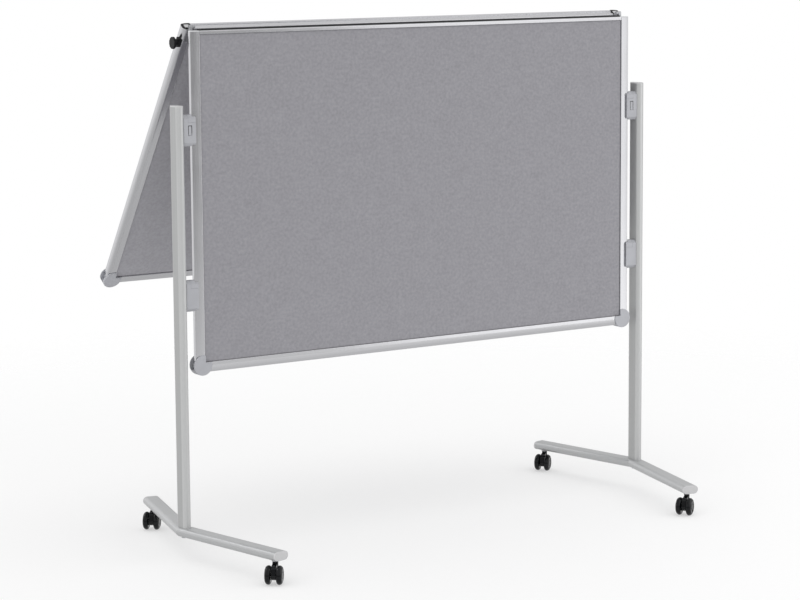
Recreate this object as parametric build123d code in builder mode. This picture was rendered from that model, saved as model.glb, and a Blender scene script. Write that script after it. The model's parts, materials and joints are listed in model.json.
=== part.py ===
from build123d import *

import os
from math import cos, radians, sin

# Mobile folding pin board: two felt-covered leaves, hinged along their top edges, on a stand
# with two flat-oval uprights, V-shaped feet and four twin-wheel castors.
# Millimetres, +X along the board, +Y to the back, +Z up, origin on the floor under the
# middle of the front leaf. "left" is -X and "right" is +X.

# ---- Driving dimensions ---------------------------------------------------------------------

# leaves
leaf_width = 1200.0  # over the side bars
leaf_thickness = 20.0  # over the faces of the bars
leaf_bottom = 419.0  # floor to the lower edge of the front leaf
felt_height = 729.0  # felt between bottom bar and top bar
bar_width = 22.5  # side and bottom bars, seen from the front
front_top_bar = 8.0  # height of the front leaf's top bar
rear_top_bar = 8.0  # height of the rear leaf's top bar
core_thickness = 12.0
felt_thickness = 2.0
core_play = 0.15  # core board to the sides of its channel
felt_play = 0.2  # felt edge to the bars

# bar section
face_run = 15.0  # outer edge to where the outward face becomes flat
side_edge = 7.5  # middle of the bar to the crease between side and outward face
crease_round = 0.8
inner_round = 10.0  # corner towards the other leaf
lip_round = 1.2
chamber_start = 5.0  # outer edge to the hollow chamber
chamber_end = 12.0
chamber_half = 7.0  # half height of the hollow chamber
channel_floor = 13.5  # outer edge to the floor of the board channel
channel_gap = 0.5  # core edge to the floor of its channel
top_channel_depth = 5.5
top_edge_round = 2.0
seal_width = 8.0
seal_seat = 1.0  # depth of the seal's seat in the front top bar
seal_rise = 3.0  # seal above the top bar
seal_round = 1.0
top_rib_width = 7.0  # groove along the rear leaf's top bar
top_rib_depth = 1.2

# corner caps and end plugs
corner_seat = 24.0  # outer edge to the square-cut bar ends
cap_radius = 23.0
cap_inset = 16.0  # cap centre from both outer edges
cap_proud = 2.5  # cap face above the bar face
cap_edge_round = 2.0
same_size = 0.01  # lengths closer than this are taken as equal
cap_slot_depth = 10.0
cap_slot_start = 7.0  # lower edge of the leaf to the side slot
cap_slot_half = 8.5
spigot_length = 25.0
spigot_play = 0.2
front_plug_plate = 2.0
rear_plug_plate = 2.5
plug_spigot = 12.0
plug_pocket_depth = 1.0
plug_pocket_width = 12.0
plug_pocket_height = 11.0

# hinge between the leaves
rest_angle = 35.0  # rear leaf from vertical, as it stands
hinge_gap = 4.0  # bar face to hinge axis
front_hinge_rise = 8.0  # front leaf's top to hinge axis
rear_hinge_rise = 8.0  # rear leaf's top to hinge axis
pin_radius = 2.5
pin_play = 0.05
knuckle_radius = 4.0
knuckle_web = 18.5  # hinge axis to the end of the knuckle's web
knuckle_play = 0.2  # between the two knuckles along the axis
hinge_plate_width = 14.0
hinge_plate_thickness = 2.5
hinge_plate_start = 8.5  # hinge axis to the near end of the plate
hinge_plate_end = 43.0  # hinge axis to the far end of the plate
hinge_plate_inset = 8.2  # plate's outer side from the leaf's outer edge
hinge_plate_round = 4.0
hinge_screw_stations = (24.5, 37.0)  # from the hinge axis
screw_radius = 1.5
screw_head_radius = 3.0
countersink_angle = 90.0
hinge_screw_length = 6.0

# clamps on the inner edge of the rear leaf
clamp_station = 49.0  # hinge axis to clamp screw, along the leaf
clamp_rise = 6.5  # clamp screw in front of the leaf's middle
block_length = 22.0
block_width = 11.5
block_set_back = 0.5  # block behind the bar's inner face
block_reach = 4.0  # beyond the leaf's outer edge
block_wrap = 6.0  # inward from the leaf's outer edge
block_round = 2.0
block_play = 0.1
clamp_screw_radius = 2.5
clamp_screw_play = 0.05
clamp_screw_end = 11.0  # inward from the leaf's outer edge
knob_radius = 13.5
knob_thickness = 5.0
knob_edge_round = 1.2
knob_hub_radius = 7.5
knob_hub_length = 7.7
knob_gap = 0.3
knob_flutes = 12
knob_flute_radius = 1.6

# stand tubes
tube_width = 40.0
tube_height = 20.0
tube_wall = 1.5
upright_clearance = 23.0  # leaf's outer edge to the upright
upright_top = 1016.0
foot_centre_height = 61.5
foot_splay = 13.1  # each arm turned inward from the board's normal
foot_arm_reach = 321.4  # upright's centre to the arm's end, with its cap
foot_mitre_overrun = 15.0
end_cap_plate = 4.0  # on the foot arms
upright_cap_plate = 2.5
end_cap_plug = 8.0
end_cap_round = 1.5
plug_play = 0.1
base_plug_height = 25.0
foot_bolt_radius = 4.0
foot_bolt_grip = 20.0  # thread inside the base plug
foot_bolt_head_width = 13.0
foot_bolt_sides = 6
foot_bolt_head_height = 4.0

# connector brackets between uprights and front leaf
upper_bracket_base = 926.0
lower_bracket_base = 558.5
bracket_height = 69.0
bracket_depth = 28.0
bracket_overlap = 7.0  # jaws over the front leaf's bar
bracket_chamfer = 7.0
bracket_round = 1.5
jaw_play = 0.4  # jaw to bar
hook_height = 17.0  # visible head of the hook
hook_width = 19.0  # bracket's inner side to the side of the hook's head
hook_play = 0.3
pocket_wall = 2.0
pocket_half_depth = 8.0
pocket_floor = 14.0
tongue_play = 0.5
tongue_end_gap = 2.0
hook_screw_height = 8.0  # above the lower side of the hook's head
hook_screw_offset = 3.5  # in front of the leaf's middle
hook_screw_length = 16.0
bracket_screw_stations = (22.0, 44.0)
bracket_screw_radius = 2.0
bracket_screw_head_radius = 4.0
bracket_screw_length = 16.0

# release tabs in the upper brackets
tab_window_base = 24.0
tab_window_height = 22.0
tab_window_width = 9.6
tab_width = 6.6
tab_thickness = 3.8
tab_recess = 0.3
tab_top_gap = 1.5
tab_pivot_rise = 2.6  # window base to pivot axis
tab_pivot_radius = 1.0
tab_pivot_play = 0.05
tab_pivot_length = 1.2  # of each pivot beyond the window
tab_round = 1.0

# castors
castor_reach = 301.2  # upright's centre to swivel axis, along the arm
socket_ring_radius = 8.0
socket_ring_height = 3.5
socket_radius = 6.0
socket_height = 18.0
stem_radius = 4.0
stem_play = 0.05
stem_length = 15.0
stem_end_gap = 1.0
neck_radius = 6.5
neck_base = 37.0
neck_gap = 0.3
wheel_radius = 21.0
wheel_width = 13.0
castor_width = 38.5
castor_trail = 18.0
web_thickness = 10.5
web_hub_radius = 11.0
web_neck_radius = 5.5
web_neck_height = 38.5
axle_radius = 3.0
axle_play = 0.05
axle_end_gap = 0.2
wheel_wall = 2.2  # closed outer side of each wheel at its hub
wheel_inner_round = 5.5  # from the tread to the wheel's inner side
dish_depth = 1.0
dish_inner_radius = 7.2
dish_slope = 0.8
hub_drop = 0.4
hood_height = 34.5  # floor to the middle of the hood over the axle
hood_back = 3.0  # hood behind the axle
hood_round = 6.0
castor_headings = {  # swivel angle of each castor at rest
    ("left", "front"): -39.0,
    ("left", "rear"): -39.0,
    ("right", "front"): -54.0,
    ("right", "rear"): -50.0,
}

# ---- Places worked out from the dimensions ----------------------------------------------------

SIDES = {"left": -1, "right": 1}
ENDS = {"front": -1, "rear": 1}
FRONT_FACING = 1  # signs of a leaf's own z direction
BACK_FACING = -1

half_thickness = leaf_thickness / 2
half_width = leaf_width / 2
felt_width = leaf_width - 2 * bar_width
felt_top = bar_width + felt_height
front_height = felt_top + front_top_bar
rear_height = felt_top + rear_top_bar
front_axis_height = front_height + front_hinge_rise
rear_axis_height = rear_height + rear_hinge_rise
axis_offset = half_thickness + hinge_gap

front_leaf = Plane(origin=(0, 0, leaf_bottom), x_dir=(1, 0, 0), z_dir=(0, -1, 0))
hinge_axis_point = front_leaf.from_local_coords(Vector(0, front_axis_height, -axis_offset))
rear_up = Vector(0, -sin(radians(rest_angle)), cos(radians(rest_angle)))
rear_normal = Vector(0, -cos(radians(rest_angle)), -sin(radians(rest_angle)))
rear_origin = hinge_axis_point - rear_up * rear_axis_height - rear_normal * axis_offset
rear_leaf = Plane(origin=rear_origin, x_dir=(1, 0, 0), z_dir=rear_normal)

upright_offset = half_width + upright_clearance + tube_height / 2
foot_top = foot_centre_height + tube_height / 2
foot_underside = foot_centre_height - tube_height / 2
bracket_seat = half_width + upright_clearance  # flat side of the upright
bracket_edge = half_width - bracket_overlap
hook_side = bracket_edge + hook_width
tab_middle = (half_width + jaw_play + pocket_wall + hook_side) / 2
knuckle_middle = half_width - hinge_plate_inset - hinge_plate_width / 2


def plane_in(frame, point, x_axis, normal):
    """Plane at a local point of a frame; its x axis and normal are local directions."""

    def turned(direction):
        along_x, along_y, along_z = direction
        return frame.x_dir * along_x + frame.y_dir * along_y + frame.z_dir * along_z

    origin = frame.from_local_coords(Vector(*point))
    return Plane(origin=origin, x_dir=turned(x_axis), z_dir=turned(normal))


def save(piece, name):
    """Label a finished piece and write its STEP file."""
    piece.part.label = name
    export_step(piece.part, f"parts/{name}.step")


# ---- Shared sections ----------------------------------------------------------------------------

# Side and bottom bars. x runs inward from the outer edge, y towards the leaf's outward face.
with BuildSketch() as bar_outline:
    with BuildLine():
        Line((bar_width, half_thickness), (face_run, half_thickness))
        TangentArc((face_run, half_thickness), (0, side_edge), tangent=(-1, 0))
        Line((0, side_edge), (0, inner_round - half_thickness))
        TangentArc(
            (0, inner_round - half_thickness), (inner_round, -half_thickness), tangent=(0, -1)
        )
        Line((inner_round, -half_thickness), (bar_width, -half_thickness))
        Line((bar_width, -half_thickness), (bar_width, half_thickness))
    make_face()
    fillet(bar_outline.vertices().group_by(Axis.X)[-1], lip_round)
    fillet(bar_outline.vertices().sort_by_distance((0, side_edge))[0], crease_round)

channel_half = core_thickness / 2 + core_play

with BuildSketch() as bar_section:
    add(bar_outline.sketch)
    with Locations(((chamber_start + chamber_end) / 2, 0)):
        Rectangle(chamber_end - chamber_start, 2 * chamber_half, mode=Mode.SUBTRACT)
    with Locations(((channel_floor + bar_width) / 2, 0)):
        Rectangle(bar_width - channel_floor, 2 * channel_half, mode=Mode.SUBTRACT)

# Flat-oval tube and the plug that fits inside it.
with BuildSketch() as tube_section:
    SlotOverall(tube_width, tube_height)
    SlotOverall(tube_width - 2 * tube_wall, tube_height - 2 * tube_wall, mode=Mode.SUBTRACT)

with BuildSketch() as tube_plug_section:
    SlotOverall(
        tube_width - 2 * tube_wall - 2 * plug_play,
        tube_height - 2 * tube_wall - 2 * plug_play,
    )


# ---- Leaves ---------------------------------------------------------------------------------------
# Each leaf has a local frame: x along the board, y up the leaf from its lower edge, z out of
# the face that looks to the front when the leaves hang side by side.


def across_side_bar(frame, side, outward, height):
    """Plane across a side bar: x inward from the outer edge, y to the outward face."""
    start = (side * half_width, height, 0)
    return plane_in(frame, start, (-side, 0, 0), (0, side * outward, 0))


def hinge_screw_seats(frame, side, axis_height, outward, height):
    """Planes of one side's hinge screws, at a height above the bar's inner face."""
    middle = side * (half_width - hinge_plate_inset - hinge_plate_width / 2)
    surface = -outward * (half_thickness + height)
    return [
        plane_in(frame, (middle, axis_height - station, surface), (1, 0, 0), (0, 0, -outward))
        for station in hinge_screw_stations
    ]


def make_side_bar(name, frame, side, top, outward, drillings):
    """Side bar with its screw holes, each drilling a plane, a radius and a depth."""
    with BuildPart() as bar:
        with BuildSketch(across_side_bar(frame, side, outward, corner_seat)):
            add(bar_section.sketch)
        extrude(amount=side * outward * (top - corner_seat))
        for seat, radius, depth in drillings:
            with Locations(seat):
                Hole(radius, depth=depth)
    save(bar, name)


def make_bottom_bar(name, frame, outward):
    """Bottom bar between the two corner caps."""
    length = leaf_width - 2 * corner_seat
    with BuildPart() as bar:
        start = (-outward * length / 2, 0, 0)
        with BuildSketch(plane_in(frame, start, (0, 1, 0), (outward, 0, 0))):
            add(bar_section.sketch)
        extrude(amount=length)
    save(bar, name)


def make_top_bar(name, frame, height, groove, depth):
    """Top bar between the side bars, with a channel for the board and a groove on top."""
    with BuildPart() as bar:
        start = (-felt_width / 2, felt_top, 0)
        with BuildSketch(plane_in(frame, start, (0, 1, 0), (1, 0, 0))) as section:
            with Locations((height / 2, 0)):
                Rectangle(height, leaf_thickness)
            fillet(section.vertices().group_by(Axis.X)[-1], top_edge_round)
            with Locations((top_channel_depth / 2, 0)):
                Rectangle(top_channel_depth, 2 * channel_half, mode=Mode.SUBTRACT)
            with Locations((height - depth / 2, 0)):
                Rectangle(depth, groove, mode=Mode.SUBTRACT)
        extrude(amount=felt_width)
    save(bar, name)


def make_core(name, frame):
    """Core board, its lower corners cut away for the corner caps."""
    inset = channel_floor + channel_gap
    width = leaf_width - 2 * inset
    height = felt_top + top_channel_depth - channel_gap - inset
    notch = corner_seat + channel_gap - inset
    with BuildPart() as core:
        lower = (0, inset, -core_thickness / 2)
        with BuildSketch(plane_in(frame, lower, (1, 0, 0), (0, 0, 1))):
            Rectangle(width, height, align=(Align.CENTER, Align.MIN))
            with Locations((-width / 2, 0)):
                Rectangle(notch, notch, align=(Align.MIN, Align.MIN), mode=Mode.SUBTRACT)
            with Locations((width / 2, 0)):
                Rectangle(notch, notch, align=(Align.MAX, Align.MIN), mode=Mode.SUBTRACT)
        extrude(amount=core_thickness)
    save(core, name)


def make_felt(name, frame, facing):
    """Felt bonded to one face of the core board, up to the edges of the bars."""
    with BuildPart() as felt:
        middle = (0, bar_width + felt_height / 2, facing * core_thickness / 2)
        with BuildSketch(plane_in(frame, middle, (1, 0, 0), (0, 0, facing))):
            Rectangle(felt_width - 2 * felt_play, felt_height - 2 * felt_play)
        extrude(amount=felt_thickness)
    save(felt, name)


def make_corner_caps(name, frame):
    """Round caps over both lower corners, with spigots in the chambers of the bars."""
    spigot_start = chamber_start + spigot_play
    spigot_width = chamber_end - chamber_start - 2 * spigot_play
    spigot_thickness = 2 * (chamber_half - spigot_play)
    with BuildPart() as caps:
        for side in SIDES.values():
            corner = (side * half_width, 0, 0)
            inward = (-side, 0, 0)
            # body between the bar ends
            with BuildSketch(plane_in(frame, corner, inward, (0, 0, -side))):
                with Locations((cap_inset, cap_inset)):
                    Circle(cap_radius)
                with Locations((corner_seat, 0)):
                    Rectangle(cap_radius, 4 * cap_radius, align=(Align.MIN, Align.CENTER),
                              mode=Mode.SUBTRACT)
                with Locations((0, corner_seat)):
                    Rectangle(4 * cap_radius, cap_radius, align=(Align.CENTER, Align.MIN),
                              mode=Mode.SUBTRACT)
                with Locations((bar_width, bar_width)):
                    Rectangle(cap_radius, cap_radius, align=(Align.MIN, Align.MIN),
                              mode=Mode.SUBTRACT)
            extrude(amount=half_thickness, both=True)
            # flanges over the ends of the bars
            for facing in (FRONT_FACING, BACK_FACING):
                face_corner = (side * half_width, 0, facing * half_thickness)
                with BuildSketch(plane_in(frame, face_corner, inward, (0, 0, -side))):
                    with Locations((cap_inset, cap_inset)):
                        Circle(cap_radius)
                    with Locations((bar_width, bar_width)):
                        Rectangle(2 * cap_radius, 2 * cap_radius, align=(Align.MIN, Align.MIN),
                                  mode=Mode.SUBTRACT)
                extrude(amount=-side * facing * cap_proud)
            # slot in the outer side
            slot_corner = (side * half_width, cap_slot_start, 0)
            with BuildSketch(plane_in(frame, slot_corner, (0, 1, 0), (side, 0, 0))):
                Rectangle(corner_seat, 2 * cap_slot_half, align=(Align.MIN, Align.CENTER))
            extrude(amount=cap_radius, mode=Mode.SUBTRACT)
            extrude_depth = cap_slot_depth - (cap_radius - cap_inset)
            with BuildSketch(plane_in(frame, slot_corner, (0, 1, 0), (side, 0, 0))):
                Rectangle(corner_seat, 2 * cap_slot_half, align=(Align.MIN, Align.CENTER))
            extrude(amount=-extrude_depth, mode=Mode.SUBTRACT)
            # spigots up the side bar and along the bottom bar
            up_start = (side * half_width, corner_seat, 0)
            with BuildSketch(plane_in(frame, up_start, inward, (0, 1, 0))):
                with Locations((spigot_start, 0)):
                    Rectangle(spigot_width, spigot_thickness, align=(Align.MIN, Align.CENTER))
            extrude(amount=spigot_length)
            in_start = (side * (half_width - corner_seat), 0, 0)
            with BuildSketch(plane_in(frame, in_start, (0, 1, 0), inward)):
                with Locations((spigot_start, 0)):
                    Rectangle(spigot_width, spigot_thickness, align=(Align.MIN, Align.CENTER))
            extrude(amount=spigot_length)
        face_height = half_thickness + cap_proud
        rims = [
            edge
            for edge in caps.edges().filter_by(GeomType.CIRCLE)
            if abs(edge.radius - cap_radius) < same_size
            and abs(abs(frame.to_local_coords(edge.center()).Z) - face_height) < same_size
        ]
        fillet(rims, cap_edge_round)
    save(caps, name)


def make_end_plugs(name, frame, top, outward, plate, pocketed):
    """Plugs that close the upper ends of both side bars."""
    with BuildPart() as plugs:
        for side in SIDES.values():
            upward = side * outward
            with BuildSketch(across_side_bar(frame, side, outward, top - plate)):
                add(bar_outline.sketch)
            extrude(amount=upward * plate)
            with BuildSketch(across_side_bar(frame, side, outward, top - plate)):
                with Locations((chamber_start + spigot_play, 0)):
                    Rectangle(
                        chamber_end - chamber_start - 2 * spigot_play,
                        2 * (chamber_half - spigot_play),
                        align=(Align.MIN, Align.CENTER),
                    )
            extrude(amount=-upward * plug_spigot)
            if pocketed:
                with BuildSketch(across_side_bar(frame, side, outward, top)):
                    with Locations((bar_width / 2, 0)):
                        RectangleRounded(plug_pocket_width, plug_pocket_height, lip_round)
                extrude(amount=-upward * plug_pocket_depth, mode=Mode.SUBTRACT)
    save(plugs, name)


def make_leaf(prefix, frame, top_bar, plate, outward, faces, drillings, pocketed):
    """All pieces that both leaves have in common."""
    height = felt_top + top_bar
    for side_name, side in SIDES.items():
        make_side_bar(
            f"{prefix}_{side_name}_bar", frame, side, height - plate, outward, drillings(side)
        )
    make_bottom_bar(f"{prefix}_bottom_bar", frame, outward)
    make_core(f"{prefix}_core", frame)
    make_felt(f"{prefix}_{faces[0]}_felt", frame, FRONT_FACING)
    make_felt(f"{prefix}_{faces[1]}_felt", frame, BACK_FACING)
    make_corner_caps(f"{prefix}_corner_caps", frame)
    make_end_plugs(f"{prefix}_end_plugs", frame, height, outward, plate, pocketed)


# ---- Hinge ------------------------------------------------------------------------------------------


def make_hinge_plates(name, frame, axis_height, outward, knuckle_start, knuckle_end, hole_radius):
    """One plate per side, screwed to the bar's inner face, with a knuckle around the axis."""
    facing = -outward
    plate_length = hinge_plate_end - hinge_plate_start
    plate_middle = axis_height - (hinge_plate_start + hinge_plate_end) / 2
    with BuildPart() as plates:
        for side in SIDES.values():
            centre_x = side * (half_width - hinge_plate_inset - hinge_plate_width / 2)
            middle = (centre_x, plate_middle, facing * half_thickness)
            with BuildSketch(plane_in(frame, middle, (1, 0, 0), (0, 0, facing))):
                RectangleRounded(hinge_plate_width, plate_length, hinge_plate_round)
            extrude(amount=hinge_plate_thickness)
            barrel = (side * knuckle_start, axis_height, facing * axis_offset)
            barrel_plane = plane_in(frame, barrel, (0, -1, 0), (side, 0, 0))
            out = -side * facing
            with BuildSketch(barrel_plane):
                Circle(knuckle_radius)
                with Locations((knuckle_web / 2, -out * hinge_gap / 2)):
                    Rectangle(knuckle_web, hinge_gap)
            extrude(amount=knuckle_end - knuckle_start)
            with BuildSketch(barrel_plane):
                Circle(hole_radius)
            extrude(amount=knuckle_end - knuckle_start, mode=Mode.SUBTRACT)
            seats = hinge_screw_seats(frame, side, axis_height, outward, hinge_plate_thickness)
            with Locations(*seats):
                CounterSinkHole(screw_radius, screw_head_radius, depth=hinge_plate_thickness,
                                counter_sink_angle=countersink_angle)
    save(plates, name)


def countersunk_screws(seats, shank_radius, head_radius, length):
    """Screws with flush conical heads, one at each seat, pointing into it."""
    with BuildPart() as screws:
        with Locations(*seats):
            Cylinder(shank_radius, length, align=(Align.CENTER, Align.CENTER, Align.MAX))
            Cone(shank_radius, head_radius, head_radius - shank_radius,
                 align=(Align.CENTER, Align.CENTER, Align.MAX))
    return screws


def make_hinge_pins():
    """Pins fixed in the front knuckles and running in the rear ones."""
    start = knuckle_middle - hinge_plate_width / 2
    with BuildPart() as pins:
        for side in SIDES.values():
            end_point = (side * start, front_axis_height, -axis_offset)
            with BuildSketch(plane_in(front_leaf, end_point, (0, 1, 0), (side, 0, 0))):
                Circle(pin_radius)
            extrude(amount=hinge_plate_width)
    save(pins, "hinge_pins")


# ---- Clamps on the rear leaf ----------------------------------------------------------------------------


def clamp_plane(side, reach):
    """Plane across a clamp screw, at a reach beyond the rear leaf's outer edge."""
    point = (side * (half_width + reach), rear_axis_height - clamp_station, clamp_rise)
    return plane_in(rear_leaf, point, (0, side, 0), (side, 0, 0))


def make_clamp_blocks():
    """Blocks on the outer edges of the rear side bars, around their inner corners."""
    block_centre = half_thickness - block_set_back - block_width / 2 - clamp_rise
    with BuildPart() as blocks:
        for side in SIDES.values():
            with BuildSketch(clamp_plane(side, block_reach)):
                with Locations((0, block_centre)):
                    RectangleRounded(block_length, block_width, block_round)
            extrude(amount=-(block_reach + block_wrap))
            lower = rear_axis_height - clamp_station - block_length
            with BuildSketch(across_side_bar(rear_leaf, side, BACK_FACING, lower)):
                add(bar_outline.sketch)
                offset(amount=block_play)
            extrude(amount=side * BACK_FACING * 2 * block_length, mode=Mode.SUBTRACT)
            with Locations(clamp_plane(side, block_reach)):
                Hole(clamp_screw_radius + clamp_screw_play, depth=block_reach + block_wrap)
    save(blocks, "clamp_blocks")


def make_clamp_knob(name, side):
    """Round knob with its clamping screw."""
    hub_start = block_reach + knob_gap
    disc_start = hub_start + knob_hub_length
    with BuildPart() as knob:
        with BuildSketch(clamp_plane(side, -clamp_screw_end)):
            Circle(clamp_screw_radius)
        extrude(amount=clamp_screw_end + disc_start)
        with BuildSketch(clamp_plane(side, hub_start)):
            Circle(knob_hub_radius)
        extrude(amount=knob_hub_length)
        with BuildSketch(clamp_plane(side, disc_start)):
            Circle(knob_radius)
            with PolarLocations(knob_radius + knob_flute_radius / 2, knob_flutes):
                Circle(knob_flute_radius, mode=Mode.SUBTRACT)
        extrude(amount=knob_thickness)
        outward = Axis(clamp_plane(side, disc_start).origin, (side, 0, 0))
        fillet(knob.faces().sort_by(outward)[-1].edges(), knob_edge_round)
    save(knob, name)


# ---- Stand ------------------------------------------------------------------------------------------------


def bracket_screw_seats(depth):
    """Planes of the bracket screws, at a distance beyond the wall that they are sunk into."""
    return [
        Plane(
            origin=(side * (hook_side - depth), 0, base + station),
            x_dir=(0, 1, 0),
            z_dir=(-side, 0, 0),
        )
        for side in SIDES.values()
        for base in (upper_bracket_base, lower_bracket_base)
        for station in bracket_screw_stations
    ]


def hook_screw_seats(side):
    """Planes of the screws that hold one side's hooks, on the outer ends of the hooks."""
    return [
        Plane(
            origin=(
                side * (hook_side - hook_play),
                -hook_screw_offset,
                base + bracket_height - hook_height + hook_play + hook_screw_height,
            ),
            x_dir=(0, side, 0),
            z_dir=(side, 0, 0),
        )
        for base in (upper_bracket_base, lower_bracket_base)
    ]


def make_upright(name, side):
    """Flat-oval tube standing on the foot, its wide side along Y."""
    with BuildPart() as upright:
        with BuildSketch(Plane.XY.offset(foot_top)):
            with Locations(Location((side * upright_offset, 0), 90)):
                add(tube_section.sketch)
        extrude(amount=upright_top - upright_cap_plate - foot_top)
        with Locations(*bracket_screw_seats(0)):
            Hole(bracket_screw_radius, depth=bracket_screw_length)
    save(upright, name)


def arm_plane(side, end, distance, height=foot_centre_height):
    """Plane across a foot arm, at a distance from the upright's centre."""
    heading = Vector(-side * sin(radians(foot_splay)), end * cos(radians(foot_splay)), 0)
    origin = Vector(side * upright_offset, 0, height) + heading * distance
    return Plane(origin=origin, x_dir=heading.cross(Vector(0, 0, 1)), z_dir=heading)


def castor_plane(side, end, height):
    """Horizontal plane on the swivel axis of a castor."""
    origin = arm_plane(side, end, castor_reach, height).origin
    return Plane(origin=origin, x_dir=(1, 0, 0), z_dir=(0, 0, 1))


def make_foot_arm(name, side, end):
    """Half of a foot: flat-oval tube, mitred under the upright."""
    with BuildPart() as arm:
        with BuildSketch(arm_plane(side, end, -foot_mitre_overrun)):
            add(tube_section.sketch)
        extrude(amount=foot_mitre_overrun + foot_arm_reach - end_cap_plate)
        split(bisect_by=Plane.XZ, keep=Keep.BOTTOM if end > 0 else Keep.TOP)
        with BuildSketch(Plane.XY.offset(foot_underside - tube_wall)):
            with Locations((side * upright_offset, 0)):
                Circle(foot_bolt_radius)
        extrude(amount=tube_height + 2 * tube_wall, mode=Mode.SUBTRACT)
        with BuildSketch(castor_plane(side, end, foot_underside - tube_wall)):
            Circle(socket_radius)
        extrude(amount=tube_height / 2, mode=Mode.SUBTRACT)
    save(arm, name)


def make_tube_end_caps():
    """Flat-oval caps on the tops of the uprights and the ends of the foot arms."""
    seats = [
        (
            Plane(
                origin=(side * upright_offset, 0, upright_top - upright_cap_plate),
                x_dir=(0, 1, 0),
                z_dir=(0, 0, 1),
            ),
            upright_cap_plate,
        )
        for side in SIDES.values()
    ]
    seats += [
        (arm_plane(side, end, foot_arm_reach - end_cap_plate), end_cap_plate)
        for side in SIDES.values()
        for end in ENDS.values()
    ]
    with BuildPart() as caps:
        for seat, plate in seats:
            with BuildSketch(seat):
                SlotOverall(tube_width, tube_height)
            extrude(amount=plate)
            outward = Axis(seat.origin, seat.z_dir)
            fillet(caps.faces(Select.LAST).sort_by(outward)[-1].edges(), end_cap_round)
            with BuildSketch(seat):
                add(tube_plug_section.sketch)
            extrude(amount=-end_cap_plug)
    save(caps, "tube_end_caps")


def make_base_plugs():
    """Threaded plugs inside the lower ends of the uprights."""
    with BuildPart() as plugs:
        with BuildSketch(Plane.XY.offset(foot_top)):
            for side in SIDES.values():
                with Locations(Location((side * upright_offset, 0), 90)):
                    add(tube_plug_section.sketch)
                with Locations((side * upright_offset, 0)):
                    Circle(foot_bolt_radius, mode=Mode.SUBTRACT)
        extrude(amount=base_plug_height)
    save(plugs, "upright_base_plugs")


def make_foot_bolts():
    """Hexagon bolts from under each foot into the upright's plug."""
    with BuildPart() as bolts:
        with Locations(*[(side * upright_offset, 0, foot_underside) for side in SIDES.values()]):
            Cylinder(
                foot_bolt_radius,
                tube_height + foot_bolt_grip,
                align=(Align.CENTER, Align.CENTER, Align.MIN),
            )
        with BuildSketch(Plane.XY.offset(foot_underside)):
            with Locations(*[(side * upright_offset, 0) for side in SIDES.values()]):
                RegularPolygon(foot_bolt_head_width / 2, foot_bolt_sides, major_radius=False)
        extrude(amount=-foot_bolt_head_height)
    save(bolts, "foot_bolts")


def make_castor_sockets():
    """Sockets in the foot arms that the castor stems turn in."""
    with BuildPart() as sockets:
        for side in SIDES.values():
            for end in ENDS.values():
                with BuildSketch(castor_plane(side, end, foot_underside)):
                    Circle(socket_ring_radius)
                extrude(amount=-socket_ring_height)
                with BuildSketch(castor_plane(side, end, foot_underside)):
                    Circle(socket_radius)
                extrude(amount=socket_height)
                with BuildSketch(castor_plane(side, end, foot_underside - socket_ring_height)):
                    Circle(stem_radius + stem_play)
                extrude(amount=stem_length + stem_end_gap, mode=Mode.SUBTRACT)
    save(sockets, "castor_sockets")


# ---- Connector brackets --------------------------------------------------------------------------------------


def bracket_floor(side, inner, outer, height):
    """Horizontal plane halfway between two distances from the middle of the board."""
    return Plane(
        origin=(side * (inner + outer) / 2, 0, height), x_dir=(1, 0, 0), z_dir=(0, 0, 1)
    )


def bracket_flank(side, distance, height):
    """Upright plane across the board's long axis: local x to the back or front, y up."""
    return Plane(origin=(side * distance, 0, height), x_dir=(0, side, 0), z_dir=(side, 0, 0))


def make_bracket(name, side, base, windowed):
    """Bracket on the upright, with jaws around the leaf's bar and a pocket for the hook."""
    pocket_start = half_width + jaw_play + pocket_wall
    slot_reach = half_width + jaw_play
    hook_base = bracket_height - hook_height
    with BuildPart() as bracket:
        with BuildSketch(bracket_flank(side, bracket_edge, base)) as outline:
            Rectangle(bracket_depth, bracket_height, align=(Align.CENTER, Align.MIN))
            chamfer(outline.vertices(), bracket_chamfer)
        extrude(amount=bracket_seat - bracket_edge)
        fillet(bracket.edges().filter_by(Axis.X), bracket_round)
        # recess for the head of the hook
        with BuildSketch(bracket_floor(side, bracket_edge, hook_side, base + hook_base)):
            Rectangle(hook_side - bracket_edge, bracket_depth)
        extrude(amount=hook_height, mode=Mode.SUBTRACT)
        # slot around the leaf's side bar
        with BuildSketch(bracket_floor(side, bracket_edge, slot_reach, base)):
            Rectangle(slot_reach - bracket_edge, leaf_thickness + 2 * jaw_play)
        extrude(amount=bracket_height, mode=Mode.SUBTRACT)
        # pocket for the tongue of the hook
        with BuildSketch(bracket_floor(side, pocket_start, hook_side, base + pocket_floor)):
            Rectangle(hook_side - pocket_start, 2 * pocket_half_depth)
        extrude(amount=hook_base - pocket_floor, mode=Mode.SUBTRACT)
        if windowed:
            with BuildSketch(tab_window_plane(side, base, 0)):
                Rectangle(tab_window_width, tab_window_height, align=(Align.CENTER, Align.MIN))
            extrude(amount=-bracket_depth / 2, mode=Mode.SUBTRACT)
            with BuildSketch(tab_pivot_plane(side, base)):
                Circle(tab_pivot_radius + tab_pivot_play)
            extrude(
                amount=tab_window_width / 2 + tab_pivot_length + tab_pivot_play,
                both=True,
                mode=Mode.SUBTRACT,
            )
        seats = [seat for seat in bracket_screw_seats(0) if owns(seat, side, base)]
        with Locations(*seats):
            CounterSinkHole(bracket_screw_radius, bracket_screw_head_radius,
                            depth=bracket_screw_length, counter_sink_angle=countersink_angle)
    save(bracket, name)


def owns(seat, side, base):
    """Whether a screw seat belongs to the bracket on this side at this height."""
    height = seat.origin.Z - base
    return seat.origin.X * side > 0 and 0 < height < bracket_height


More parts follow.
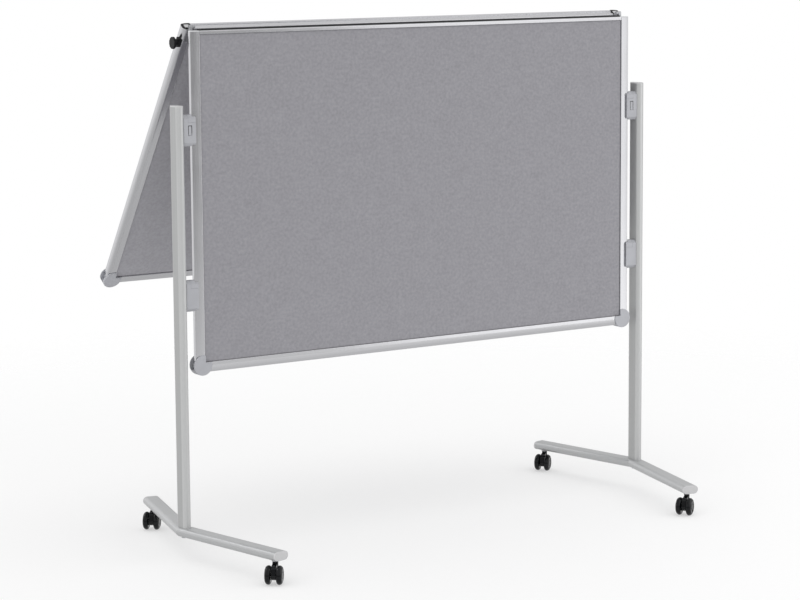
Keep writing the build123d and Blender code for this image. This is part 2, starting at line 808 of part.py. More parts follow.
def tab_window_plane(side, base, depth):
    """Front plane of a release tab's window, at a depth behind the bracket's face."""
    middle = side * tab_middle
    return Plane(
        origin=(middle, depth - bracket_depth / 2, base + tab_window_base),
        x_dir=(1, 0, 0),
        z_dir=(0, -1, 0),
    )


def tab_pivot_plane(side, base):
    """Plane across a release tab's pivot axis, in the middle of the tab."""
    return Plane(
        origin=(
            side * tab_middle,
            tab_recess + tab_thickness / 2 - bracket_depth / 2,
            base + tab_window_base + tab_pivot_rise,
        ),
        x_dir=(0, 1, 0),
        z_dir=(1, 0, 0),
    )


def make_release_tab(name, side):
    """Spring tab in the window of an upper bracket, on two pivots near its lower end."""
    height = tab_window_height - tab_top_gap - tab_recess
    with BuildPart() as tab:
        with BuildSketch(tab_window_plane(side, upper_bracket_base, tab_recess)):
            with Locations((0, tab_recess)):
                RectangleRounded(tab_width, height, tab_round, align=(Align.CENTER, Align.MIN))
        extrude(amount=-tab_thickness)
        with BuildSketch(tab_pivot_plane(side, upper_bracket_base)):
            Circle(tab_pivot_radius)
        extrude(amount=tab_window_width / 2 + tab_pivot_length, both=True)
    save(tab, name)


def make_panel_hooks():
    """Hooks screwed to the front leaf's side bars, their tongues in the brackets."""
    head_start = bracket_height - hook_height + hook_play
    head_height = hook_height - hook_play
    head_end = hook_side - hook_play
    tongue_start = half_width + jaw_play + pocket_wall + tongue_play
    tongue_end = hook_side - tongue_play
    tongue_base = pocket_floor + tongue_end_gap
    with BuildPart() as hooks:
        for side in SIDES.values():
            for base in (upper_bracket_base, lower_bracket_base):
                head_base = base + head_start
                with BuildSketch(bracket_flank(side, bracket_edge, head_base)) as head:
                    Rectangle(bracket_depth, head_height, align=(Align.CENTER, Align.MIN))
                    chamfer(head.vertices().group_by(Axis.Y)[-1], bracket_chamfer)
                extrude(amount=head_end - bracket_edge)
                with BuildSketch(bracket_floor(side, bracket_edge, half_width, head_base)):
                    Rectangle(half_width - bracket_edge, leaf_thickness + 2 * jaw_play)
                extrude(amount=head_height, mode=Mode.SUBTRACT)
                with BuildSketch(
                    bracket_floor(side, tongue_start, tongue_end, base + tongue_base)
                ):
                    Rectangle(tongue_end - tongue_start, 2 * (pocket_half_depth - tongue_play))
                extrude(amount=head_start - tongue_base)
            with Locations(*hook_screw_seats(side)):
                CounterSinkHole(screw_radius, screw_head_radius,
                                depth=head_end - half_width, counter_sink_angle=countersink_angle)
    save(hooks, "panel_hooks")


# ---- Castors -----------------------------------------------------------------------------------------------------


def castor_frame(side_name, end_name):
    """Castor's own frame on the floor: x along the axle, y ahead of the wheels, z up."""
    heading = radians(castor_headings[(side_name, end_name)])
    origin = castor_plane(SIDES[side_name], ENDS[end_name], 0).origin
    return Plane(origin=origin, x_dir=(cos(heading), sin(heading), 0), z_dir=(0, 0, 1))


def make_castor_body(name, frame):
    """Web and hood between the wheels, neck and stem."""
    neck_top = foot_underside - socket_ring_height - neck_gap
    with BuildPart() as body:
        with BuildSketch(plane_in(frame, (0, 0, 0), (0, 1, 0), (1, 0, 0))):
            with Locations((-castor_trail, wheel_radius)):
                Circle(web_hub_radius)
            with Locations((0, web_neck_height)):
                Circle(web_neck_radius)
            with Locations((-castor_trail - hood_back, hood_height)):
                Circle(hood_round)
            make_hull()
        extrude(amount=web_thickness / 2, both=True)
        with BuildSketch(plane_in(frame, (0, 0, neck_base), (1, 0, 0), (0, 0, 1))):
            Circle(neck_radius)
        extrude(amount=neck_top - neck_base)
        with BuildSketch(plane_in(frame, (0, 0, neck_top), (1, 0, 0), (0, 0, 1))):
            Circle(stem_radius)
        extrude(amount=neck_gap + stem_length)
        axle_point = (0, -castor_trail, wheel_radius)
        with BuildSketch(plane_in(frame, axle_point, (0, 1, 0), (1, 0, 0))):
            Circle(axle_radius)
        extrude(amount=web_thickness, both=True, mode=Mode.SUBTRACT)
    save(body, name)


def make_castor_axle(name, frame):
    """Steel axle fixed in the web, carrying both wheels."""
    with BuildPart() as axle:
        axle_point = (0, -castor_trail, wheel_radius)
        with BuildSketch(plane_in(frame, axle_point, (0, 1, 0), (1, 0, 0))):
            Circle(axle_radius)
        extrude(amount=castor_width / 2 - hub_drop - wheel_wall - axle_end_gap, both=True)
    save(axle, name)


def make_castor_wheel(name, frame, hand):
    """Domed wheel with a fully round tread and a blind bore, on one side of the web."""
    inner = castor_width / 2 - wheel_width
    outer = castor_width / 2
    tread = inner + wheel_inner_round
    outer_round = wheel_width - wheel_inner_round
    centre = (0, -castor_trail, wheel_radius)
    axle_direction = frame.x_dir * hand
    with BuildPart() as wheel:
        with BuildSketch(plane_in(frame, centre, (hand, 0, 0), (0, -hand, 0))):
            with BuildLine():
                Line((inner, 0), (inner, wheel_radius - wheel_inner_round))
                TangentArc(
                    (inner, wheel_radius - wheel_inner_round), (tread, wheel_radius),
                    tangent=(0, 1),
                )
                TangentArc(
                    (tread, wheel_radius), (outer, wheel_radius - outer_round), tangent=(1, 0)
                )
                Polyline(
                    (outer, wheel_radius - outer_round),
                    (outer - dish_depth, dish_inner_radius + dish_slope),
                    (outer - hub_drop, dish_inner_radius),
                    (outer - hub_drop, 0),
                    (inner, 0),
                )
            make_face()
        revolve(axis=Axis(frame.from_local_coords(Vector(*centre)), axle_direction))
        bore_start = (hand * inner, -castor_trail, wheel_radius)
        with BuildSketch(plane_in(frame, bore_start, (0, 1, 0), (hand, 0, 0))):
            Circle(axle_radius + axle_play)
        extrude(amount=wheel_width - hub_drop - wheel_wall, mode=Mode.SUBTRACT)
    save(wheel, name)


# ---- Build everything --------------------------------------------------------------------------------------------

os.makedirs("parts", exist_ok=True)

def front_drillings(side):
    """Holes of a front side bar, for the hinge plate and the two hooks."""
    hinge = hinge_screw_seats(front_leaf, side, front_axis_height, FRONT_FACING, 0)
    holes = [(seat, screw_radius, half_thickness - channel_half) for seat in hinge]
    for seat in hook_screw_seats(side):
        face = seat.offset(half_width - hook_side + hook_play)
        holes.append((face, screw_radius, chamber_start))
    return holes


def rear_drillings(side):
    """Holes of a rear side bar, for the hinge plate and the clamp screw."""
    hinge = hinge_screw_seats(rear_leaf, side, rear_axis_height, BACK_FACING, 0)
    holes = [(seat, screw_radius, half_thickness - channel_half) for seat in hinge]
    holes.append((clamp_plane(side, 0), clamp_screw_radius + clamp_screw_play, chamber_end))
    return holes


make_leaf("front_leaf", front_leaf, front_top_bar, front_plug_plate, FRONT_FACING,
          ("front", "back"), front_drillings, pocketed=False)
make_top_bar("front_leaf_top_bar", front_leaf, front_top_bar, seal_width, seal_seat)
make_leaf("rear_leaf", rear_leaf, rear_top_bar, rear_plug_plate, BACK_FACING,
          ("inner", "outer"), rear_drillings, pocketed=True)
make_top_bar("rear_leaf_top_bar", rear_leaf, rear_top_bar, top_rib_width, top_rib_depth)

with BuildPart() as top_seal:
    seal_start = (-felt_width / 2, front_height - seal_seat, 0)
    with BuildSketch(plane_in(front_leaf, seal_start, (0, 1, 0), (1, 0, 0))) as seal_section:
        Rectangle(seal_seat + seal_rise, seal_width, align=(Align.MIN, Align.CENTER))
        fillet(seal_section.vertices().group_by(Axis.X)[-1], seal_round)
    extrude(amount=felt_width)
save(top_seal, "front_leaf_top_seal")

make_hinge_plates("front_hinge_plates", front_leaf, front_axis_height, FRONT_FACING,
                  knuckle_middle + knuckle_play / 2, half_width - hinge_plate_inset, pin_radius)
make_hinge_plates("rear_hinge_plates", rear_leaf, rear_axis_height, BACK_FACING,
                  knuckle_middle - hinge_plate_width / 2, knuckle_middle - knuckle_play / 2,
                  pin_radius + pin_play)
make_hinge_pins()


def all_hinge_screw_seats(frame, axis_height, outward):
    """Planes of a leaf's hinge screws, level with the outer faces of its hinge plates."""
    return [
        seat
        for side in SIDES.values()
        for seat in hinge_screw_seats(frame, side, axis_height, outward, hinge_plate_thickness)
    ]


rear_screws = countersunk_screws(
    all_hinge_screw_seats(rear_leaf, rear_axis_height, BACK_FACING),
    screw_radius, screw_head_radius, hinge_screw_length,
)
save(rear_screws, "rear_hinge_screws")

front_screws = countersunk_screws(
    all_hinge_screw_seats(front_leaf, front_axis_height, FRONT_FACING),
    screw_radius, screw_head_radius, hinge_screw_length,
)
hook_screws = countersunk_screws(
    [seat for side in SIDES.values() for seat in hook_screw_seats(side)],
    screw_radius, screw_head_radius, hook_screw_length,
)
bracket_screws = countersunk_screws(
    bracket_screw_seats(0), bracket_screw_radius, bracket_screw_head_radius,
    bracket_screw_length,
)
with BuildPart() as fixing_screws:
    add(front_screws.part)
    add(hook_screws.part)
    add(bracket_screws.part)
save(fixing_screws, "fixing_screws")

make_clamp_blocks()
make_tube_end_caps()
make_base_plugs()
make_foot_bolts()
make_castor_sockets()
make_panel_hooks()

for side_name, side in SIDES.items():
    make_upright(f"{side_name}_upright", side)
    make_bracket(f"upper_{side_name}_bracket", side, upper_bracket_base, windowed=True)
    make_bracket(f"lower_{side_name}_bracket", side, lower_bracket_base, windowed=False)
    make_release_tab(f"{side_name}_release_tab", side)
    make_clamp_knob(f"{side_name}_clamp_knob", side)
    for end_name, end in ENDS.items():
        place = f"{end_name}_{side_name}"
        frame = castor_frame(side_name, end_name)
        make_foot_arm(f"{place}_foot_arm", side, end)
        make_castor_body(f"{place}_castor_body", frame)
        make_castor_axle(f"{place}_castor_axle", frame)
        make_castor_wheel(f"{place}_castor_left_wheel", frame, -1)
        make_castor_wheel(f"{place}_castor_right_wheel", frame, 1)
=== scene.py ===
import json
import math

import bmesh
import bpy
import numpy as np
from mathutils import Matrix, Vector


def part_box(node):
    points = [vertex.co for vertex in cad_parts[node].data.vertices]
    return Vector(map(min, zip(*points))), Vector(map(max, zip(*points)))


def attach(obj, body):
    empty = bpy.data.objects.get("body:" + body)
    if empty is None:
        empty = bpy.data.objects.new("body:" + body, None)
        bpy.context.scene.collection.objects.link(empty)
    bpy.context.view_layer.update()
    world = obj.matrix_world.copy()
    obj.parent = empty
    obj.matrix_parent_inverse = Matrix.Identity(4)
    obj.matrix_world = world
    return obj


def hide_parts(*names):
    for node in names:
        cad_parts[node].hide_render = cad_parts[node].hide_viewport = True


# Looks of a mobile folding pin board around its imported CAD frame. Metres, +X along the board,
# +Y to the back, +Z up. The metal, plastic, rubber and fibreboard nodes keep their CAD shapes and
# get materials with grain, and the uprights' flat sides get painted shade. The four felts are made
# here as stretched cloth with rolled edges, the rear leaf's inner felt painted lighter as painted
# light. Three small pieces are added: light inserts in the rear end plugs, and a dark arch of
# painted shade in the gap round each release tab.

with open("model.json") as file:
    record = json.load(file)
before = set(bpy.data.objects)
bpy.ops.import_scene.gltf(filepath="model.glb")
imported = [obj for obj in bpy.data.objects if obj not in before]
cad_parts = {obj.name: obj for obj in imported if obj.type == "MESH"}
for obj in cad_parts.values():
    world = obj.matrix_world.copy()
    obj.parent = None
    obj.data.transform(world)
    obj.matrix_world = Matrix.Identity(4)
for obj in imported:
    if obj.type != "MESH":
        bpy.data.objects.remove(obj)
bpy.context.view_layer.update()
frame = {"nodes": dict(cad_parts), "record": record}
nodes = frame["nodes"]
SLOT_OF_NODE = {
    part["node"]: part["material_slot"] for part in frame["record"]["subparts"]
}

MM = 0.001
UP = Vector((0, 0, 1))


def put_in_scene(name, data):
    """A new object that holds the data."""
    thing = bpy.data.objects.new(name, data)
    bpy.context.scene.collection.objects.link(thing)
    return thing


def mesh_data(name, mesh):
    """Mesh data from a bmesh, which is freed."""
    data = bpy.data.meshes.new(name)
    mesh.to_mesh(data)
    mesh.free()
    return data


# ---- Camera ---------------------------------------------------------------------------------

CAMERA_PLACE = (-3.09394, -4.84111, 1.41230)
CAMERA_YAW = math.radians(-32.095)  # from +Y, anticlockwise seen from above
CAMERA_PITCH = math.radians(-7.615)
CAMERA_ROLL = math.radians(-0.415)
LENS = 111.27
SENSOR = 36.0
SHIFT_Y = -0.06

camera_data = bpy.data.cameras.new("camera")
camera_data.lens = LENS
camera_data.sensor_width = SENSOR
camera_data.shift_y = SHIFT_Y
camera = put_in_scene("camera", camera_data)
camera.matrix_world = (
    Matrix.Translation(CAMERA_PLACE)
    @ Matrix.Rotation(CAMERA_YAW, 4, "Z")
    @ Matrix.Rotation(math.pi / 2 + CAMERA_PITCH, 4, "X")
    @ Matrix.Rotation(CAMERA_ROLL, 4, "Z")
)
bpy.context.scene.camera = camera

# ---- Node helpers ---------------------------------------------------------------------------

MIX_DARK, MIX_LIGHT, MIX_COLOR = 6, 7, 2  # a Mix node's two colour inputs and its colour output
EDGE_SAMPLES = 6
NOISE_MIDDLE = 0.5


class Graph:
    """A material's or world's node tree with short ways to add and join nodes."""

    def __init__(self, owner):
        owner.use_nodes = True
        self.tree = owner.node_tree
        self.tree.nodes.clear()

    def add(self, kind, **settings):
        node = self.tree.nodes.new(kind)
        for key, value in settings.items():
            setattr(node, key, value)
        return node

    def join(self, source, target):
        self.tree.links.new(source, target)

    def feed(self, socket, value):
        """Links an output socket, or sets a constant."""
        if isinstance(value, bpy.types.NodeSocket):
            self.join(value, socket)
        else:
            socket.default_value = value

    def math(self, operation, first, second=0.0):
        node = self.add("ShaderNodeMath", operation=operation)
        self.feed(node.inputs[0], first)
        self.feed(node.inputs[1], second)
        return node.outputs[0]

    def total(self, first, *others):
        for other in others:
            first = self.math("ADD", first, other)
        return first

    def times(self, first, second):
        return self.math("MULTIPLY", first, second)

    def blend(self, first, second, share):
        """The first value's share and the rest of the second."""
        return self.total(self.times(first, share), self.times(second, 1 - share))

    def noise(self, vector, scale=1.0, detail=2.0, roughness=0.5):
        node = self.add("ShaderNodeTexNoise")
        self.join(vector, node.inputs["Vector"])
        node.inputs["Scale"].default_value = scale
        node.inputs["Detail"].default_value = detail
        node.inputs["Roughness"].default_value = roughness
        return node.outputs["Fac"]

    def between(self, value, low, high, to_low, to_high):
        node = self.add("ShaderNodeMapRange")
        self.join(value, node.inputs["Value"])
        node.inputs["From Min"].default_value = low
        node.inputs["From Max"].default_value = high
        node.inputs["To Min"].default_value = to_low
        node.inputs["To Max"].default_value = to_high
        return node.outputs["Result"]

    def spread(self, noise, low, high, reach=0.2):
        """A noise's usual values, its middle give or take the reach, stretched to low and high."""
        return self.between(noise, NOISE_MIDDLE - reach, NOISE_MIDDLE + reach, low, high)

    def tint(self, factor, color, dark, light):
        """A colour that goes from a darker to a lighter shade of itself."""
        node = self.add("ShaderNodeMix", data_type="RGBA")
        self.join(factor, node.inputs["Factor"])
        node.inputs[MIX_DARK].default_value = (*shade(color, dark), 1)
        node.inputs[MIX_LIGHT].default_value = (*shade(color, light), 1)
        return node.outputs[MIX_COLOR]

    def bump(self, height, strength, distance, normal=None):
        node = self.add("ShaderNodeBump")
        node.inputs["Strength"].default_value = strength
        node.inputs["Distance"].default_value = distance
        self.join(height, node.inputs["Height"])
        if normal is not None:
            self.join(normal, node.inputs["Normal"])
        return node.outputs["Normal"]

    def soft_edges(self, radius):
        node = self.add("ShaderNodeBevel", samples=EDGE_SAMPLES)
        node.inputs["Radius"].default_value = radius
        return node.outputs["Normal"]

    def place(self, frame_axes=None, stretch=(1, 1, 1)):
        """Object coordinates, turned into a piece's own axes and stretched along them."""
        coordinates = self.add("ShaderNodeTexCoord").outputs["Object"]
        mapping = self.add("ShaderNodeMapping", vector_type="TEXTURE")
        self.join(coordinates, mapping.inputs["Vector"])
        if frame_axes is not None:
            mapping.inputs["Rotation"].default_value = frame_axes.to_euler()
        mapping.inputs["Scale"].default_value = stretch
        return mapping.outputs["Vector"]

    def mix_shaders(self, factor, first, second):
        node = self.add("ShaderNodeMixShader")
        self.feed(node.inputs[0], factor)
        self.join(first, node.inputs[1])
        self.join(second, node.inputs[2])
        return node.outputs[0]

    def surface(self, color, roughness, metallic, normal, **constants):
        shader = self.add("ShaderNodeBsdfPrincipled")
        self.join(color, shader.inputs["Base Color"])
        self.feed(shader.inputs["Roughness"], roughness)
        shader.inputs["Metallic"].default_value = metallic
        self.join(normal, shader.inputs["Normal"])
        for key, value in constants.items():
            shader.inputs[key.replace("_", " ")].default_value = value
        self.finish(shader.outputs[0])

    def finish(self, shader, kind="ShaderNodeOutputMaterial"):
        self.join(shader, self.add(kind).inputs["Surface"])


def srgb(red, green, blue):
    """Linear colour from 8-bit screen values."""
    return tuple(
        value / 12.92 if value <= 0.04045 else ((value + 0.055) / 1.055) ** 2.4
        for value in (red / 255, green / 255, blue / 255)
    )


def shade(color, factor):
    return tuple(min(1.0, value * factor) for value in color)


def main_axes(points):
    """Directions of the points' spread, the longest first."""
    return np.linalg.svd(points - points.mean(0), full_matrices=False)[2]


def corners_of(node_name):
    return np.array([vertex.co for vertex in nodes[node_name].data.vertices])


def long_axes(node_name):
    """Rotation whose x axis runs along a node's longest direction."""
    axes = main_axes(corners_of(node_name))
    along, across = Vector(axes[0]), Vector(axes[1])
    rotation = Matrix((along, across, along.cross(across))).transposed()
    return rotation.to_3x3()


# ---- Materials ------------------------------------------------------------------------------

BAR_COLOR = srgb(228, 228, 231)
UPRIGHT_COLOR = srgb(208, 209, 209)
FOOT_COLOR = srgb(190, 191, 192)
STEEL_COLOR = srgb(196, 197, 200)
FELT_COLOR = srgb(151, 150, 155)
# painted light: a lighter copy of the felt colour for the rear leaf's inner felt, standing in for
# light inside the fold
INNER_FELT_PAINTED_LIGHT_COLOR = srgb(163, 162, 167)
BOARD_COLOR = srgb(176, 146, 108)
GREY_PLASTIC_COLOR = srgb(176, 177, 182)
LIGHT_PLASTIC_COLOR = srgb(210, 211, 213)
TUBE_CAP_COLOR = srgb(199, 199, 200)
BLACK_COLOR = srgb(15, 15, 18)
CASTOR_COLOR = srgb(8, 10, 13)
RUBBER_COLOR = srgb(20, 20, 21)

STREAK_LENGTH = 350 * MM
STREAK = (STREAK_LENGTH, 1.1 * MM, 1.1 * MM)  # a drawn streak along a profile, and across it
HAIR = (STREAK_LENGTH / 3, 0.35 * MM, 0.35 * MM)  # and a finer one
STREAK_SHARE = 0.6  # the rest of the lines are hairs
FLAT_FROM, FLAT_TO = 0.94, 0.995  # x of a side's normal where its painted shade starts and is full
UPRIGHT_FLAT_PAINTED_SHADE = 0.72  # painted shade: the uprights' flat sides are painted darker than their rounded edges
ALUMINIUM_FINISHES = {  # colour, roughness, metallic
    "leaf_aluminium": (BAR_COLOR, 0.2, 1.0),
    "stand_aluminium": (UPRIGHT_COLOR, 0.34, 0.45),
    "foot_aluminium": (FOOT_COLOR, 0.34, 0.45),
}
LINE_GLOSS = 0.035  # how much the roughness changes from line to line
MOTTLE_GLOSS = 0.02  # and from place to place


def anodised(name, axes, color, roughness, metallic, flat_painted_shade):
    """Satin anodised aluminium with faint lines along the extrusion.

    Sides that face squarely towards -X or +X get painted shade, their colour scaled down by the
    flat shade factor.
    """
    material = bpy.data.materials.new(name)
    g = Graph(material)
    streaks = g.noise(g.place(axes, STREAK), detail=3.0)
    hairs = g.noise(g.place(axes, HAIR))
    mottle = g.noise(g.place(), scale=14.0, detail=3.0)
    lines = g.blend(streaks, hairs, STREAK_SHARE)
    tone = g.tint(g.spread(lines, low=0, high=1, reach=0.15), color, dark=0.94, light=1.02)
    # painted shade: the colour is scaled down on sides whose normal faces squarely across X
    if flat_painted_shade < 1.0:
        split = g.add("ShaderNodeSeparateXYZ")
        g.join(g.add("ShaderNodeTexCoord").outputs["Normal"], split.inputs[0])
        across = g.math("ABSOLUTE", split.outputs["X"])
        painted_flat_tone = g.add("ShaderNodeVectorMath", operation="SCALE")
        g.join(tone, painted_flat_tone.inputs[0])
        g.join(g.between(across, FLAT_FROM, FLAT_TO, 1.0, flat_painted_shade), painted_flat_tone.inputs["Scale"])
        tone = painted_flat_tone.outputs[0]
    gloss = g.total(
        g.spread(lines, roughness - LINE_GLOSS, roughness + LINE_GLOSS),
        g.spread(mottle, -MOTTLE_GLOSS, MOTTLE_GLOSS),
    )
    normal = g.bump(lines, strength=0.25, distance=0.02 * MM, normal=g.soft_edges(0.6 * MM))
    g.surface(tone, gloss, metallic, normal)
    return material


BRUSH_LINE = (10 * MM, 0.4 * MM, 0.4 * MM)
STEEL_GLOSS = (0.24, 0.38)  # roughness, from line to line


def zinc_steel(name, axes):
    """Zinc-plated steel, finely brushed, with a faint spangle."""
    material = bpy.data.materials.new(name)
    g = Graph(material)
    lines = g.noise(g.place(axes, BRUSH_LINE))
    spangle = g.noise(g.place(), scale=420.0)
    tone = g.tint(g.spread(spangle, low=0, high=1), STEEL_COLOR, dark=0.86, light=1.0)
    normal = g.bump(lines, strength=0.3, distance=0.03 * MM, normal=g.soft_edges(0.3 * MM))
    g.surface(tone, g.spread(lines, *STEEL_GLOSS), metallic=1.0, normal=normal)
    return material


PLASTIC_GLOSS = 0.05  # how much the roughness changes in the grain


def moulded(name, color, roughness, grain=900.0, depth=0.04 * MM, **constants):
    """Moulded plastic with a spark-eroded texture and lightly rubbed edges.

    The grain is how fine the texture is, and the depth how high.
    """
    material = bpy.data.materials.new(name)
    g = Graph(material)
    where = g.place()
    skin = g.noise(where, scale=grain)
    drift = g.noise(where, scale=30.0, detail=3.0)
    tone = g.tint(g.spread(drift, low=0, high=1), color, dark=0.96, light=1.04)
    gloss = g.spread(skin, roughness - PLASTIC_GLOSS, roughness + PLASTIC_GLOSS, reach=0.25)
    normal = g.bump(skin, strength=0.3, distance=depth, normal=g.soft_edges(0.5 * MM))
    g.surface(tone, gloss, metallic=0.0, normal=normal, **constants)
    return material


FIBRE_SHARE = 0.6  # the rest of the mat is clumps


def fibreboard(name):
    """Soft fibreboard: matted fibres in loose clumps."""
    material = bpy.data.materials.new(name)
    g = Graph(material)
    where = g.place()
    fibres = g.noise(where, scale=700.0, detail=4.0, roughness=0.7)
    clumps = g.noise(where, scale=90.0, detail=3.0)
    mat = g.blend(fibres, clumps, FIBRE_SHARE)
    tone = g.tint(g.spread(mat, low=0, high=1), BOARD_COLOR, dark=0.75, light=1.0)
    normal = g.bump(fibres, strength=0.6, distance=0.2 * MM)
    g.surface(tone, roughness=0.9, metallic=0.0, normal=normal)
    return material


RIB_PITCH = 1.9 * MM  # spacing of the felt's fine rib
RIB_HEIGHT = 0.12  # against the fibre mat's, which is 1
FIBRE = (2.8 * MM, 0.7 * MM, 1.0 * MM)  # a tuft of fibres lying along the board
CROSS_FIBRE = (0.8 * MM, 2.6 * MM, 1.0 * MM)  # and one lying across it


def needle_felt(name, axes, color):
    """Grey needle felt: a fine crossed rib under a mat of short fibres."""
    material = bpy.data.materials.new(name)
    g = Graph(material)
    where = g.place(axes)
    fibres = g.noise(g.place(axes, FIBRE), detail=3.0, roughness=0.65)
    cross = g.noise(g.place(axes, CROSS_FIBRE), detail=3.0, roughness=0.65)
    split = g.add("ShaderNodeSeparateXYZ")
    g.join(where, split.inputs[0])
    rate = 2 * math.pi / RIB_PITCH
    ribs = g.times(
        g.math("SINE", g.times(split.outputs["X"], rate)),
        g.math("SINE", g.times(split.outputs["Y"], rate)),
    )
    height = g.total(g.blend(fibres, cross, share=0.5), g.times(ribs, RIB_HEIGHT))
    clouds = g.noise(where, scale=26.0, detail=4.0, roughness=0.6)
    tufts = g.noise(where, scale=150.0, roughness=0.6)
    flecks = g.noise(where, scale=1400.0, detail=1.0)
    lightness = g.total(
        g.spread(height, low=0.0, high=0.8, reach=0.3),
        g.spread(clouds, low=-0.06, high=0.06),
        g.spread(tufts, low=-0.22, high=0.22),
        g.spread(flecks, low=0.0, high=0.2),
    )
    tone = g.tint(lightness, color, dark=0.80, light=1.20)
    normal = g.bump(height, strength=0.5, distance=0.4 * MM)
    g.surface(
        tone, roughness=0.95, metallic=0.0, normal=normal,
        Specular_IOR_Level=0.2, Sheen_Weight=0.08, Sheen_Roughness=0.5,
    )
    return material


OTHER_FINISHES = {
    "grey_plastic": lambda: moulded("grey_plastic", GREY_PLASTIC_COLOR, roughness=0.42),
    "light_plastic": lambda: moulded("light_plastic", LIGHT_PLASTIC_COLOR, roughness=0.45),
    "tube_cap_plastic": lambda: moulded("tube_cap_plastic", TUBE_CAP_COLOR, roughness=0.42),
    "black_plastic": lambda: moulded(
        "black_plastic", BLACK_COLOR, roughness=0.45, Specular_IOR_Level=0.3
    ),
    "castor_plastic": lambda: moulded(
        "castor_plastic", CASTOR_COLOR, roughness=0.16, grain=300.0, depth=0.02 * MM,
        Specular_IOR_Level=0.35,
    ),
    "black_rubber": lambda: moulded("black_rubber", RUBBER_COLOR, roughness=0.62),
    "core_board": lambda: fibreboard("core_board"),
}
OWN_FINISH = {"tube_end_caps": "tube_cap_plastic"}  # nodes that don't take their slot's finish
for node_name in nodes:
    if node_name.endswith("_castor_body"):
        OWN_FINISH[node_name] = "castor_plastic"
    elif node_name.endswith("_foot_arm"):
        OWN_FINISH[node_name] = "foot_aluminium"
made = {}  # finishes that nodes share


def finish_for(node_name):
    """The material of a CAD node, by its own finish or its slot in the record."""
    kind = OWN_FINISH.get(node_name, SLOT_OF_NODE[node_name])
    if kind in ALUMINIUM_FINISHES:
        # only the uprights get painted shade on their flat sides
        flat_painted_shade = UPRIGHT_FLAT_PAINTED_SHADE if node_name.endswith("_upright") else 1.0
        return anodised(
            f"{kind}_{node_name}", long_axes(node_name), *ALUMINIUM_FINISHES[kind], flat_painted_shade
        )
    if kind == "steel":
        return zinc_steel(f"steel_{node_name}", long_axes(node_name))
    if kind not in made:
        made[kind] = OTHER_FINISHES[kind]()
    return made[kind]


FELT_SLOT = "felt"
for node_name, node in nodes.items():
    if SLOT_OF_NODE[node_name] == FELT_SLOT:
        continue
    material = finish_for(node_name)
    if not node.material_slots:
        node.data.materials.append(material)
    for holder in node.material_slots:
        holder.material = material

# ---- Felts ----------------------------------------------------------------------------------

FELT_FLAT = (1154.6 * MM, 728.6 * MM)  # the clear opening between a leaf's bars
FELT_CELL = 24 * MM  # spacing of the cloth's rows and columns
ROLLED_RIM = (  # distance from the cloth's edge, share of the rim's drop there
    (0.0, 1.0), (0.7 * MM, 0.45), (1.8 * MM, 0.15), (3.5 * MM, 0.0),
)
RIM_DROP = 1.1 * MM
SHARP_ANGLE = math.radians(50)
FRONT, BACK = -1, 1  # faces that look towards -Y and +Y
FELTS = {  # CAD felt, body, core board under it, face, colour
    "front_leaf_front_cloth": (
        "front_leaf_front_felt", "stand", "front_leaf_core", FRONT, FELT_COLOR
    ),
    "front_leaf_back_cloth": (
        "front_leaf_back_felt", "stand", "front_leaf_core", BACK, FELT_COLOR
    ),
    # the inner felt takes the painted-light colour
    "rear_leaf_inner_cloth": (
        "rear_leaf_inner_felt", "rear_leaf", "rear_leaf_core", FRONT, INNER_FELT_PAINTED_LIGHT_COLOR
    ),
    "rear_leaf_outer_cloth": (
        "rear_leaf_outer_felt", "rear_leaf", "rear_leaf_core", BACK, FELT_COLOR
    ),
}


def board_axes(node_name):
    """Middle of a flat node, and its directions along the board and up it."""
    points = corners_of(node_name)
    middle = (points.min(0) + points.max(0)) / 2
    along = Vector((1, 0, 0))
    up = Vector(main_axes(points)[2]).cross(along)
    if up.z < 0:
        up.negate()
    return Vector(middle), along, up.normalized()


def stations(length):
    """Places of the cloth's rows or columns, closer together in its rolled rim."""
    half = length / 2
    rim = [-half + inset for inset, _ in ROLLED_RIM]
    inner = np.linspace(rim[-1], -rim[-1], max(2, round(length / FELT_CELL)))
    return rim[:-1] + list(inner) + [-value for value in reversed(rim[:-1])]


def rim_share(place, length):
    """Share of the rim's drop at a row's or column's place."""
    inset = length / 2 - abs(place)
    for (near, near_share), (far, far_share) in zip(ROLLED_RIM, ROLLED_RIM[1:]):
        if inset <= far:
            return near_share + (far_share - near_share) * (inset - near) / (far - near)
    return 0.0


def rim_of(layer):
    """The outer corners of a layer, in order."""
    return (
        layer[0]
        + [line[-1] for line in layer[1:]]
        + list(reversed(layer[-1][:-1]))
        + [line[0] for line in reversed(layer[1:-1])]
    )


def cloth_mesh(middle, along, up, normal, thickness):
    """A flat cloth whose top rolls down at its rim."""
    width, height = FELT_FLAT
    columns, rows = stations(width), stations(height)
    mesh = bmesh.new()

    def grid(level):
        return [
            [
                mesh.verts.new(middle + along * x + up * y + normal * level(x, y))
                for x in columns
            ]
            for y in rows
        ]

    def top_level(x, y):
        return thickness / 2 - RIM_DROP * max(rim_share(x, width), rim_share(y, height))

    top, bottom = grid(top_level), grid(lambda x, y: -thickness / 2)
    for layer in (top, bottom):
        for lower, upper in zip(layer, layer[1:]):
            for index in range(len(lower) - 1):
                mesh.faces.new(
                    (lower[index], lower[index + 1], upper[index + 1], upper[index])
                )
    upper_rim, lower_rim = rim_of(top), rim_of(bottom)
    for index in range(len(upper_rim)):
        following = (index + 1) % len(upper_rim)
        mesh.faces.new(
            (upper_rim[index], upper_rim[following], lower_rim[following], lower_rim[index])
        )
    bmesh.ops.recalc_face_normals(mesh, faces=mesh.faces)
    return mesh


